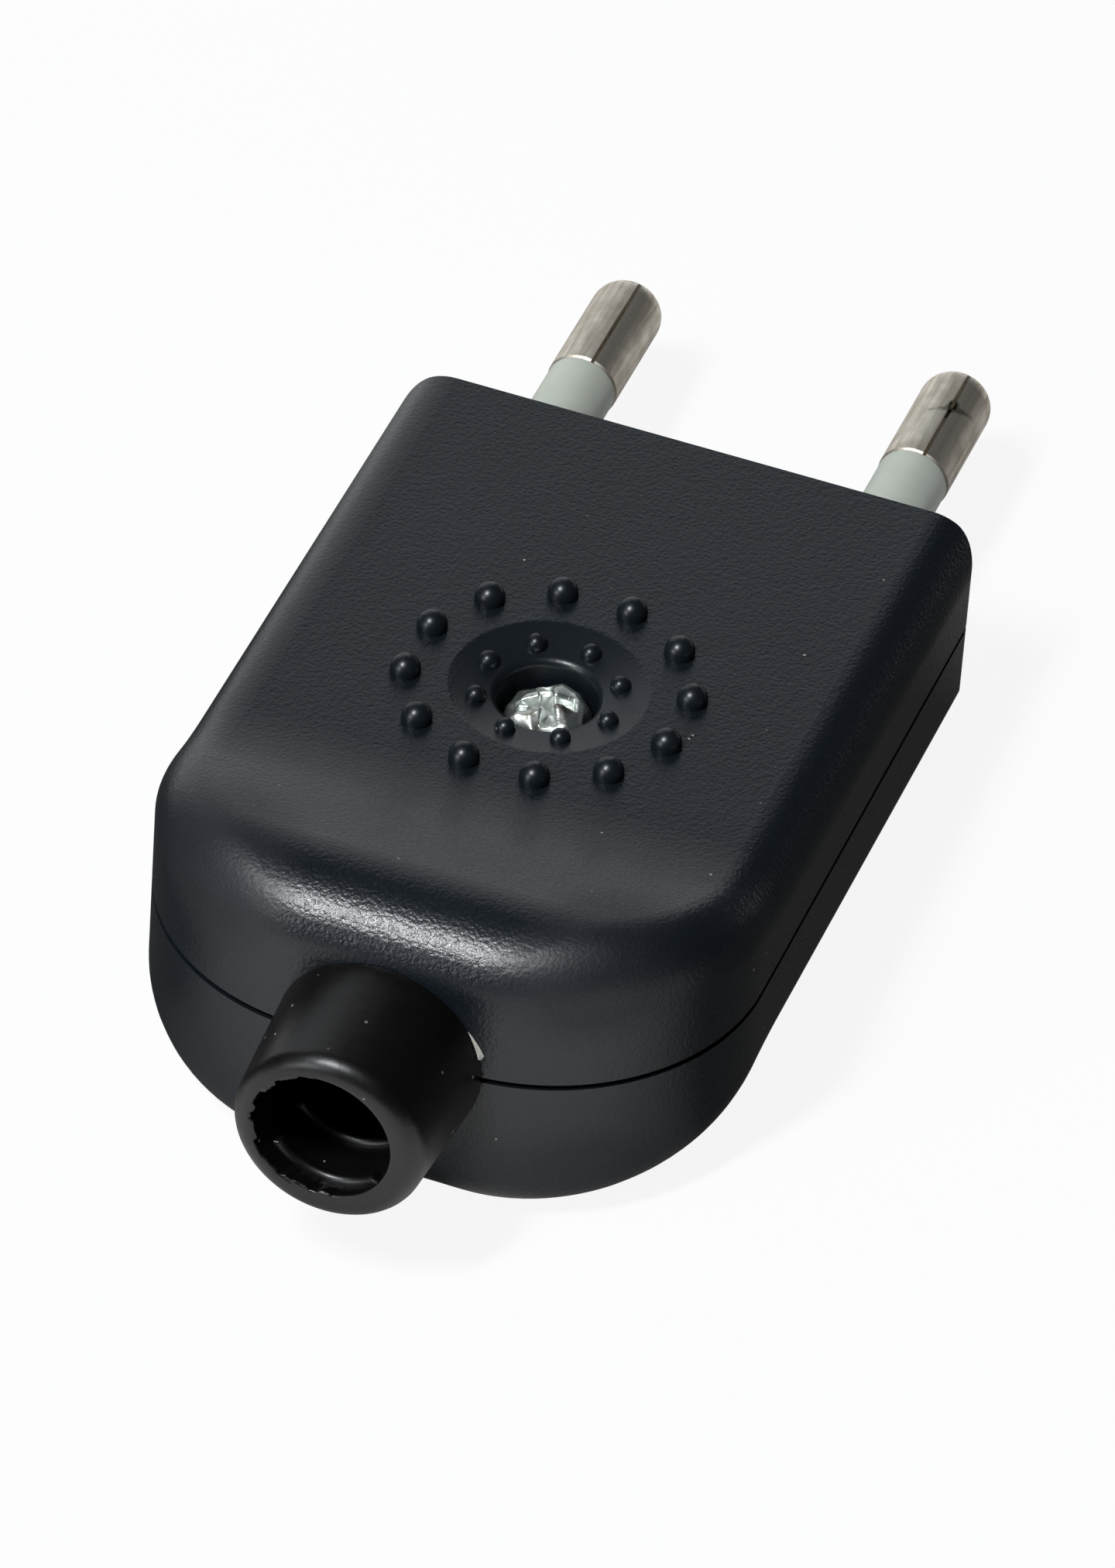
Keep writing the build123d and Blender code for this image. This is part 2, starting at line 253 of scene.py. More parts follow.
class PlugGuard(bpy.types.PropertyGroup):
    """Sizes and finish of the cord guard."""

    root: length("Root", "Diameter where the guard leaves the covers", 11.1)
    mouth: length("Mouth", "Diameter at the open end", 10.3)
    mouth_round: length("Mouth rounding", "Radius of the open end's outer edge", 1.0)
    bore: length("Bore", "Diameter of the hole for the cord", 7.5)
    groove: length("Groove", "Diameter where the covers grip the guard", 9.6)
    flange: length("Flange", "Diameter of the collar inside the covers", 12.0)
    flange_width: length("Flange width", "Width of the collar inside the covers", 1.6)
    wall: length("Cover wall", "Thickness of the covers at the groove", 2.0)
    ridge: length("Ridge", "Height of the two ridges in the bore", 0.4)
    ridge_width: length("Ridge width", "Width of each ridge", 0.7)
    ridge_place: length("Ridge place", "From the mouth to the first ridge", 1.5)
    ridge_pitch: length("Ridge pitch", "From the first ridge to the second", 3.1)
    ridge_start: angle("Ridge start", "Where the ridges begin, round from the right by way of the top", 215)
    ridge_sweep: angle("Ridge sweep", "How far the ridges run round the bottom of the bore", 95)
    hole_left: length("Hole, left", "How far the mouth's hole sits to the left of the guard's axis", 0.27)
    hole_up: length("Hole, up", "How far the mouth's hole sits above the guard's axis", 0.2)
    hole_depth: length("Hole depth", "How far into the bore the hole stays off the axis", 1.1)
    lip: length("Lip", "Rounding where the mouth turns into the bore", 0.15)
    tear: length("Tear", "Depth of the torn moulding flash round the hole", 0.22)
    fray: length("Fray", "How rough the torn edge is", 0.044)
    torn_start: angle("Torn start", "Where the hole's torn edge begins, up from the right", 95)
    torn: angle("Torn", "How far the torn stretch runs round the hole", 200)
    sliver: angle("Sliver", "How far the loose sliver of flash runs round the guard's root", 19)
    sliver_start: angle("Sliver start", "Where the sliver begins, above the covers' joint", 15)
    sliver_width: length("Sliver width", "Width of the sliver at its lower end", 0.34)
    rubber: colour("Rubber", "Black of the guard", "#070606")
    greasy: share("Greasy", "Roughness where the guard is smoothest", 0.3)
    matt: share("Matt", "Roughness where the guard is dullest", 0.42)
    patches: length("Patches", "Size of the duller patches", 1.5)
    waves: length("Waves", "Size of the slow waviness", 0.6)
    wave_height: length("Wave height", "Height of the slow waviness", 0.015)
    dust: colour("Dust", "Specks of dust", "#A9A9A4")
    dust_spacing: length("Dust spacing", "From one place for a speck to the next", 1.3)
    dust_size: length("Dust size", "Diameter of a speck", 0.18)
    dust_share: share("Dust share", "Share of those places that has a speck", 0.75)
    flash: colour("Flash", "Whitened plastic of the sliver", "#E6E2D4")
    flash_roughness: share("Flash roughness", "Roughness of the sliver", 0.4)
    flash_clouds: length("Flash clouds", "Size of the greyer clouds in the sliver", 0.4)


class PlugScrew(bpy.types.PropertyGroup):
    """Sizes of the cover screw, and the finish of all the screws."""

    head: length("Head", "Diameter of the screw head", 4.4)
    head_height: length("Head height", "Height of the screw head", 1.9)
    rounding: length("Rounding", "Radius of the head's upper edge", 0.85)
    crown: length("Crown", "Rise of the head's middle", 0.4)
    shank: length("Shank", "Diameter of the screw's shank", 3.0)
    slot: length("Slot", "Length of each slot of the cross", 3.0)
    slot_width: length("Slot width", "Width of each slot of the cross", 0.85)
    slot_depth: length("Slot depth", "Depth of the cross", 0.42)
    slot_turn: angle("Slot turn", "How far the cross is turned", 24)
    fineness: length("Fineness", "Size of the faces of the dented head", 0.06)
    dents: length("Dents", "Depth of the dents that screwdrivers left", 0.6)
    dent_width: length("Dent width", "Width of a dent", 1.35)
    burrs: length("Burrs", "Height of the burrs between the dents", 0.06)
    burr_width: length("Burr width", "Width of a burr", 0.6)
    zinc: colour("Zinc", "Plating of the screws", "#F0F5F0")
    bared: colour("Bared", "Brown where the plating is rubbed off", "#6B5A3F")
    roughness: share("Roughness", "Roughness of the plating", 0.4)
    clouds: length("Clouds", "Size of the rubbed patches", 1.2)
    chewed: share("Chewed", "Noise value from which the cover screw is rubbed", 0.53)
    kept: share("Kept", "Noise value from which the other screws are rubbed", 0.7)
    fading: share("Fading", "How far past that value the plating is gone", 0.18)
    ripple: length("Ripple", "Size of the plating's ripple", 0.25)
    ripple_height: length("Ripple height", "Height of the plating's ripple", 0.004)


class PlugTable(bpy.types.PropertyGroup):
    """The card that the plug lies on, which parts of it show white in reflections, and which show painted
    shade.
    """

    card: colour("Card", "White of the card", "#F4F4F4")
    width: length("Width", "Width and depth of the card", 8000)
    clear: length("Clear", "From the plug's lowest point to where its other foot may be", 10)
    own_white: share("Own white", "Share of its white that the card has without light or shadow", 0.9)
    # The dull part and the shade below are painted shade: grey in reflections that stands in for the plug's
    # shadow on the card
    shade: share("Shade", "Brightness of the card's dull part in reflections", 0.06)
    before_white: length("Before, white", "From how far before the pins' face the card is white", 54)
    before_shade: length("Before, shade", "How far before the pins' face the dull part begins", 36)
    # Under the guard the painted shade stands in for the guard's contact shadow on the card
    guard_shade: length("Guard shade", "How far the dull part reaches forward under the guard", 9)
    guard_core: length("Guard core", "Half width of that part where it is longest", 3)
    guard_edge: length("Guard edge", "Half width of that part where it ends", 7)
    left_lean: share("Left lean", "How far the front white leans away on the left", 0.28)
    side: length("Side", "Distance to the right from which the rear white leans away", 18)
    right_lean: bpy.props.FloatProperty(
        name="Right lean", description="How far the rear white leans away on the right", default=1.4
    )
    behind_white: length("Behind, white", "From how far behind the pins' face the card is white", 50)


class PlugStage(bpy.types.PropertyGroup):
    """The view, the room and the lamps."""

    azimuth: angle("Azimuth", "How far the camera stands to the right of the cable end", 17.9)
    elevation: angle("Elevation", "How far the camera looks down", 40.53)
    roll: angle("Roll", "How far the camera leans", 4.24)
    distance: length("Distance", "From the camera to the point it looks at", 623.9)
    nearest: length("Nearest", "Nearest distance that the camera sees", 10)
    lens: bpy.props.FloatProperty(
        name="Lens", description="Focal length on a sensor 36 mm high", default=269.0, unit="CAMERA"
    )
    aim: position("Aim", "The point that the camera looks at", (-2.81, -10.34, -10.49))
    room: colour("Room", "Dark grey of the room", "#303134")
    light: colour("Light", "Cool white of the lamps", "#F8FCFF")
    key: power("Key lamp", "Power of the softbox above and before the plug", 7.0)
    key_from: direction("Key from", "Where the softbox stands", (-0.2345, -0.5104, 0.8273))
    key_reach: length("Key reach", "From the plug to the softbox", 900)
    key_size: panel("Key size", "Width and height of the softbox", (70, 240))
    back: power("Back panel", "Power of the panel behind the pins", 3.0)
    back_from: direction("Back from", "Where the panel behind the pins stands", (-0.5185, 0.7687, 0.375))
    back_reach: length("Back reach", "From the plug to the panel behind the pins", 1200)
    back_size: panel("Back size", "Width and height of the panel behind the pins", (1280, 1120))
    front: power("Front panel", "Power of the low panel before the cable end", 2.2)
    front_from: direction("Front from", "Where the low panel stands", (-0.5, -0.8, 0.33))
    front_reach: length("Front reach", "From the plug to the low panel", 1000)
    front_size: panel("Front size", "Width and height of the low panel", (350, 350))


def add_node(tree, kind, inputs, **settings):
    """Adds a node with its settings, fills its inputs with values or links, and returns its outputs."""
    node = tree.nodes.new("ShaderNode" + kind)
    for name, value in settings.items():
        setattr(node, name, value)
    for name, value in inputs.items():
        if isinstance(value, bpy.types.NodeSocket):
            tree.links.new(value, node.inputs[name])
        else:
            node.inputs[name].default_value = value
    return node.outputs


def new_material(name):
    """A material without a surface; returns it with its node tree and its Object coordinates."""
    material = bpy.data.materials.new(name)
    material.use_nodes = True
    tree = material.node_tree
    tree.nodes.remove(tree.nodes["Principled BSDF"])
    place = add_node(tree, "TexCoord", {})["Object"]
    return material, tree, place


def dress(material, surface):
    """Gives a material its surface, and returns it."""
    tree = material.node_tree
    tree.links.new(surface, tree.nodes["Material Output"].inputs["Surface"])
    return material


def specks(tree, place, look):
    """A mask of small round specks of dust, some fainter than others."""
    cells = add_node(tree, "TexVoronoi", {"Vector": place, "Scale": 1 / look.dust_spacing})
    radius = look.dust_size / 2 / look.dust_spacing
    close = add_node(tree, "Math", {0: cells["Distance"], 1: radius}, operation="LESS_THAN")[0]
    chance = add_node(tree, "SeparateColor", {"Color": cells["Color"]})["Red"]
    strength = add_node(tree, "MapRange", {
        "Value": chance, "From Max": look.dust_share, "To Min": 1.0, "To Max": 0.0
    })["Result"]
    return add_node(tree, "Math", {0: close, 1: strength}, operation="MULTIPLY")[0]


def far_from(tree, place, middle, reach, turn=0.0):
    """How far a place lies from a middle, where 1 is the reach along each axis, turned about Z."""
    local = add_node(tree, "Mapping", {
        "Vector": place, "Location": middle, "Rotation": (0, 0, turn), "Scale": reach
    }, vector_type="TEXTURE")["Vector"]
    return add_node(tree, "VectorMath", {0: local}, operation="LENGTH")["Value"]


def blot(tree, place, middle, reach, turn, rags):
    """A mask that is 1 in the middle of a ragged blot."""
    far = far_from(tree, place, middle, reach, turn)
    ragged = add_node(tree, "TexNoise", {"Vector": place, "Scale": 1 / rags, "Detail": DETAIL})["Fac"]
    rim = add_node(tree, "Math", {0: far, 1: ragged}, operation="ADD")[0]
    return add_node(tree, "MapRange", {
        "Value": rim, "From Min": BLOT_CORE, "From Max": BLOT_RIM, "To Min": 1.0, "To Max": 0.0
    })["Result"]


def polish(tree, place, look):
    """A mask that is 1 on the grip bumps and in the dish round the screw, where the mould was polished."""
    low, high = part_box("cover_screw")
    flat = add_node(tree, "Mapping", {
        "Vector": place, "Location": (0, -(low.y + high.y) / 2, 0), "Scale": (1, 1, 0)
    })["Vector"]
    far = add_node(tree, "VectorMath", {0: flat}, operation="LENGTH")["Value"]
    height = add_node(tree, "SeparateXYZ", {"Vector": place})["Z"]
    dish = add_node(tree, "MapRange", {
        "Value": far, "From Min": look.dish - look.dish_edge, "From Max": look.dish,
        "To Min": 1.0, "To Max": 0.0
    })["Result"]
    near = add_node(tree, "Math", {0: far, 1: look.grip}, operation="LESS_THAN")[0]
    raised = add_node(tree, "Math", {0: height, 1: look.top}, operation="GREATER_THAN")[0]
    bumps = add_node(tree, "Math", {0: near, 1: raised}, operation="MULTIPLY")[0]
    return add_node(tree, "Math", {0: dish, 1: bumps}, operation="MAXIMUM")[0]


def dulled_ends(tree, place, look):
    """How much duller the crest is towards its ends, where fingers don't polish it."""
    either = add_node(tree, "VectorMath", {0: place}, operation="ABSOLUTE")["Vector"]
    far = far_from(tree, either, look.crest_end, look.crest_end_reach)
    return add_node(tree, "MapRange", {
        "Value": far, "From Min": look.crest_end_core, "To Min": look.dulled, "To Max": 0.0
    })["Result"]


def housing_plastic(look):
    """Charcoal polyamide from a spark-eroded mould: satin and a little blue, with a fine grain that breaks
    highlights into sparks, faint darker clouds and a few grains of pale dust. The grain is drawn coarser
    than such a mould leaves it, so that it shows."""
    material, tree, place = new_material("Moulded polyamide, charcoal")
    clouds = add_node(tree, "TexNoise", {"Vector": place, "Scale": 1 / look.clouds, "Detail": DETAIL})["Fac"]
    plain = add_node(tree, "Mix", {
        MIX_SHARE: clouds, MIX_FIRST: look.deep, MIX_SECOND: look.charcoal
    }, data_type="RGBA")[MIX_COLOUR]
    tone = add_node(tree, "Mix", {
        MIX_SHARE: specks(tree, place, look), MIX_FIRST: plain, MIX_SECOND: look.dust
    }, data_type="RGBA")[MIX_COLOUR]
    grit = add_node(tree, "TexNoise", {
        "Vector": place, "Scale": 1 / look.grain, "Detail": GRAIN_DETAIL
    })["Fac"]
    smooth = polish(tree, place, look)
    grain = add_node(tree, "MapRange", {"Value": smooth, "To Min": grit, "To Max": LEVEL})["Result"]
    satin = add_node(tree, "MapRange", {
        "Value": grain, "To Min": look.hollow, "To Max": look.peak
    })["Result"]
    duller = add_node(tree, "Math", {
        0: smooth, 1: look.polished, 2: dulled_ends(tree, place, look)
    }, operation="MULTIPLY_ADD")[0]
    roughness = add_node(tree, "Math", {0: satin, 1: duller}, operation="ADD")[0]
    normal = add_node(tree, "Bump", {"Height": grain, "Distance": look.grain_height})["Normal"]
    return dress(material, add_node(tree, "BsdfPrincipled", {
        "Base Color": tone, "Roughness": roughness, "IOR": POLYAMIDE_IOR, "Normal": normal
    })["BSDF"])


def guard_rubber(look):
    """Soft black PVC from a polished mould: a warm, greasy black that is nearly smooth, with a slow waviness
    and stuck dust."""
    material, tree, place = new_material("Moulded soft PVC, black")
    tone = add_node(tree, "Mix", {
        MIX_SHARE: specks(tree, place, look), MIX_FIRST: look.rubber, MIX_SECOND: look.dust
    }, data_type="RGBA")[MIX_COLOUR]
    patches = add_node(tree, "TexNoise", {
        "Vector": place, "Scale": 1 / look.patches, "Detail": DETAIL
    })["Fac"]
    roughness = add_node(tree, "MapRange", {
        "Value": patches, "To Min": look.greasy, "To Max": look.matt
    })["Result"]
    waves = add_node(tree, "TexNoise", {"Vector": place, "Scale": 1 / look.waves, "Detail": DETAIL})["Fac"]
    normal = add_node(tree, "Bump", {"Height": waves, "Distance": look.wave_height})["Normal"]
    return dress(material, add_node(tree, "BsdfPrincipled", {
        "Base Color": tone, "Roughness": roughness, "IOR": PVC_IOR, "Normal": normal
    })["BSDF"])


def clamp_plastic(look):
    """Black moulded polyamide of the clamp inside: plain satin with a faint mould grain."""
    material, tree, place = new_material("Moulded polyamide, black")
    grain = add_node(tree, "TexNoise", {"Vector": place, "Scale": 1 / look.grain, "Detail": DETAIL})["Fac"]
    normal = add_node(tree, "Bump", {"Height": grain, "Distance": look.clamp_grain_height})["Normal"]
    return dress(material, add_node(tree, "BsdfPrincipled", {
        "Base Color": look.deep, "Roughness": look.clamp_roughness, "IOR": POLYAMIDE_IOR, "Normal": normal
    })["BSDF"])


def whitened_plastic(look):
    """A thin moulding burr of the covers' polyamide that has gone white where it was bent."""
    material, tree, place = new_material("Moulded polyamide, whitened")
    clouds = add_node(tree, "TexNoise", {
        "Vector": place, "Scale": 1 / look.flash_clouds, "Detail": DETAIL
    })["Fac"]
    tone = add_node(tree, "Mix", {
        MIX_SHARE: clouds, MIX_FIRST: look.dust, MIX_SECOND: look.flash
    }, data_type="RGBA")[MIX_COLOUR]
    return dress(material, add_node(tree, "BsdfPrincipled", {
        "Base Color": tone, "Roughness": look.flash_roughness, "IOR": POLYAMIDE_IOR
    })["BSDF"])


def nickel_plating(look):
    """Nickel on turned brass, dulled by use: a warm grey with streaks along the pin, smudges, and a dark
    greenish mark across the right pin's seam."""
    material, tree, place = new_material("Nickel-plated brass, dulled")
    drawn = add_node(tree, "Mapping", {"Vector": place, "Scale": (1, look.drawn, 1)})["Vector"]
    streaks = add_node(tree, "TexNoise", {
        "Vector": drawn, "Scale": 1 / look.streak, "Detail": DETAIL
    })["Fac"]
    unstreaked = add_node(tree, "MapRange", {
        "Value": streaks, "From Min": look.streak_low, "From Max": look.streak_high, "To Min": look.streaked
    })["Result"]
    smudges = add_node(tree, "TexNoise", {
        "Vector": place, "Scale": 1 / look.smudge, "Detail": SMUDGE_DETAIL
    })["Fac"]
    unsmudged = add_node(tree, "MapRange", {
        "Value": smudges, "From Min": look.smudge_low, "From Max": look.smudge_high, "To Min": look.smudged
    })["Result"]
    clean = add_node(tree, "Math", {0: unsmudged, 1: unstreaked}, operation="MULTIPLY")[0]
    plain = add_node(tree, "Mix", {
        MIX_SHARE: clean, MIX_FIRST: look.worn, MIX_SECOND: look.nickel
    }, data_type="RGBA")[MIX_COLOUR]
    spot = blot(tree, place, look.spot, look.spot_reach, 0.0, look.rags)
    arms = blot(tree, place, look.arms, look.arms_reach, look.arms_turn, look.rags)
    faint = add_node(tree, "Math", {0: arms, 1: look.arms_share}, operation="MULTIPLY")[0]
    mark = add_node(tree, "Math", {0: spot, 1: faint}, operation="MAXIMUM")[0]
    tone = add_node(tree, "Mix", {
        MIX_SHARE: mark, MIX_FIRST: plain, MIX_SECOND: look.tarnish
    }, data_type="RGBA")[MIX_COLOUR]
    roughness = add_node(tree, "MapRange", {
        "Value": clean, "To Min": look.worn_roughness, "To Max": look.roughness
    })["Result"]
    normal = add_node(tree, "Bump", {"Height": streaks, "Distance": look.streak_height})["Normal"]
    return dress(material, add_node(tree, "BsdfPrincipled", {
        "Base Color": tone, "Metallic": 1.0, "Roughness": roughness, "Normal": normal
    })["BSDF"])


def sleeve_plastic(look):
    """Pale grey-green moulded polyamide, slightly waxy and greyer in patches where fingers hold it."""
    material, tree, place = new_material("Moulded polyamide, grey-green")
    patches = add_node(tree, "TexNoise", {
        "Vector": place, "Scale": 1 / look.patches, "Detail": DETAIL
    })["Fac"]
    tone = add_node(tree, "Mix", {
        MIX_SHARE: patches, MIX_FIRST: look.handled, MIX_SECOND: look.plastic
    }, data_type="RGBA")[MIX_COLOUR]
    ripple = add_node(tree, "TexNoise", {"Vector": place, "Scale": 1 / look.ripple, "Detail": DETAIL})["Fac"]
    normal = add_node(tree, "Bump", {"Height": ripple, "Distance": look.ripple_height})["Normal"]
    return dress(material, add_node(tree, "BsdfPrincipled", {
        "Base Color": tone, "Roughness": look.roughness, "IOR": POLYAMIDE_IOR, "Normal": normal,
        "Subsurface Weight": look.milky, "Subsurface Scale": look.milky_depth,
    })["BSDF"])


def zinc_plating(name, look, start):
    """Bright zinc on turned steel: bluish silver with a faint ripple, rubbed through to brown in patches
    where the noise passes start."""
    material, tree, place = new_material(name)
    clouds = add_node(tree, "TexNoise", {"Vector": place, "Scale": 1 / look.clouds, "Detail": DETAIL})["Fac"]
    rubbed = add_node(tree, "MapRange", {
        "Value": clouds, "From Min": start, "From Max": start + look.fading
    })["Result"]
    tone = add_node(tree, "Mix", {
        MIX_SHARE: rubbed, MIX_FIRST: look.zinc, MIX_SECOND: look.bared
    }, data_type="RGBA")[MIX_COLOUR]
    ripple = add_node(tree, "TexNoise", {"Vector": place, "Scale": 1 / look.ripple, "Detail": DETAIL})["Fac"]
    normal = add_node(tree, "Bump", {"Height": ripple, "Distance": look.ripple_height})["Normal"]
    return dress(material, add_node(tree, "BsdfPrincipled", {
        "Base Color": tone, "Metallic": 1.0, "Roughness": look.roughness, "Normal": normal
    })["BSDF"])


def finish(material, *nodes):
    """Gives CAD pieces their material."""
    for name in nodes:
        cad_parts[name].material_slots[0].material = material


class PLUG_OT_covers(bpy.types.Operator):
    """Finish the two moulded covers"""

    bl_idname = "plug.covers"
    bl_label = "Covers"

    def execute(self, context):
        finish(housing_plastic(context.scene.plug_covers), "upper_cover", "lower_cover")
        return {"FINISHED"}


def start_point(name, place):
    """A new object in edit mode whose mesh is one point."""
    bpy.ops.object.select_all(action="DESELECT")
    bpy.ops.mesh.primitive_plane_add(size=MM, location=(0, 0, 0))
    piece = bpy.context.object
    piece.name = name
    bpy.ops.object.mode_set(mode="EDIT")
    bpy.ops.mesh.merge(type="CENTER")
    bpy.ops.transform.translate(value=place)
    return piece


def turn_profile(name, profile, centre, axis, steps, sweep=2 * pi):
    """Extrudes a point along a profile, spins that about an axis and closes it; leaves it in edit mode."""
    piece = start_point(name, profile[0])
    for here, there in zip(profile, profile[1:]):
        bpy.ops.mesh.extrude_region_move(TRANSFORM_OT_translate={"value": there - here})
    bpy.ops.mesh.select_all(action="SELECT")
    bpy.ops.mesh.spin(steps=steps, angle=sweep, center=centre, axis=axis)
    bpy.ops.mesh.select_all(action="SELECT")
    bpy.ops.mesh.remove_doubles(threshold=WELD)
    bpy.ops.mesh.normals_make_consistent(inside=False)
    return piece


def select_points(piece, chosen):
    """Selects the points of a mesh in edit mode for which chosen(place) is true."""
    bpy.ops.mesh.select_all(action="DESELECT")
    bpy.ops.mesh.select_mode(type="VERT")
    bpy.ops.object.mode_set(mode="OBJECT")
    for point in piece.data.vertices:
        point.select = chosen(point.co)
    bpy.ops.object.mode_set(mode="EDIT")


def leave_smooth(sharp):
    """Leaves edit mode and shades the active object smooth, but for edges sharper than that many degrees."""
    bpy.ops.object.mode_set(mode="OBJECT")
    bpy.ops.object.shade_smooth_by_angle(angle=radians(sharp))


def seat(piece, material, slot, *nodes):
    """Gives a modelled piece its material and body, and lets it stand for its CAD nodes."""
    piece.data.materials.clear()
    piece.data.materials.append(material)
    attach(piece, "root")
    if nodes:
        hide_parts(*nodes)


def arc(centre, radius, start, end, steps):
    """Points along an arc in a plane, from one angle to another in degrees."""
    turns = [radians(start + (end - start) * i / steps) for i in range(steps + 1)]
    return [(centre[0] + radius * cos(turn), centre[1] + radius * sin(turn)) for turn in turns]


def angle_between(co, middle):
    """The angle, from -pi to pi, from a direction to a point's place round the guard's axis."""
    return (atan2(co.z, co.x) - middle + pi) % (2 * pi) - pi


class PLUG_OT_pins(bpy.types.Operator):
    """Finish the contact pins and model their sleeves"""

    bl_idname = "plug.pins"
    bl_label = "Pins and sleeves"

    def execute(self, context):
        sizes = context.scene.plug_sleeve
        finish(nickel_plating(context.scene.plug_pins), "left_pin", "right_pin")
        low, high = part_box("left_pin_sleeve")
        axis = (low + high) / 2
        profile = self.profile(sizes, low, high, axis)
        left = turn_profile("left_sleeve", profile, axis, (0, 1, 0), SLEEVE_STEPS)
        leave_smooth(SLEEVE_SHARP)
        right = self.copy_sleeve(left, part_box("right_pin_sleeve")[0] - low)
        plastic = sleeve_plastic(sizes)
        seat(left, plastic, "sleeve_plastic", "left_pin_sleeve")
        seat(right, plastic, "sleeve_plastic", "right_pin_sleeve")
        return {"FINISHED"}

    def copy_sleeve(self, left, shift):
        """The right sleeve, as a copy of the left one with its own mesh."""
        bpy.ops.object.select_all(action="DESELECT")
        left.select_set(True)
        bpy.context.view_layer.objects.active = left
        bpy.ops.object.duplicate()
        right = bpy.context.object
        right.name = "right_sleeve"
        bpy.ops.transform.translate(value=shift)
        bpy.ops.object.transform_apply()
        return right

    def profile(self, sizes, low, high, axis):
        """A sleeve's section: slim inside the covers, then full out to the pin."""
        bore = sizes.bore / 2
        slim = high.x - axis.x
        full = sizes.outside / 2
        edge = (full - sizes.edge, high.y - sizes.edge)
        rings = [(bore, low.y), (slim, low.y), (slim, 0), (full, sizes.flare)]
        rings += arc(edge, sizes.edge, 0, 90, SLEEVE_EDGE_STEPS)
        rings += [(bore, high.y), (bore, low.y)]
        return [Vector((axis.x + radius, place, axis.z)) for radius, place in rings]


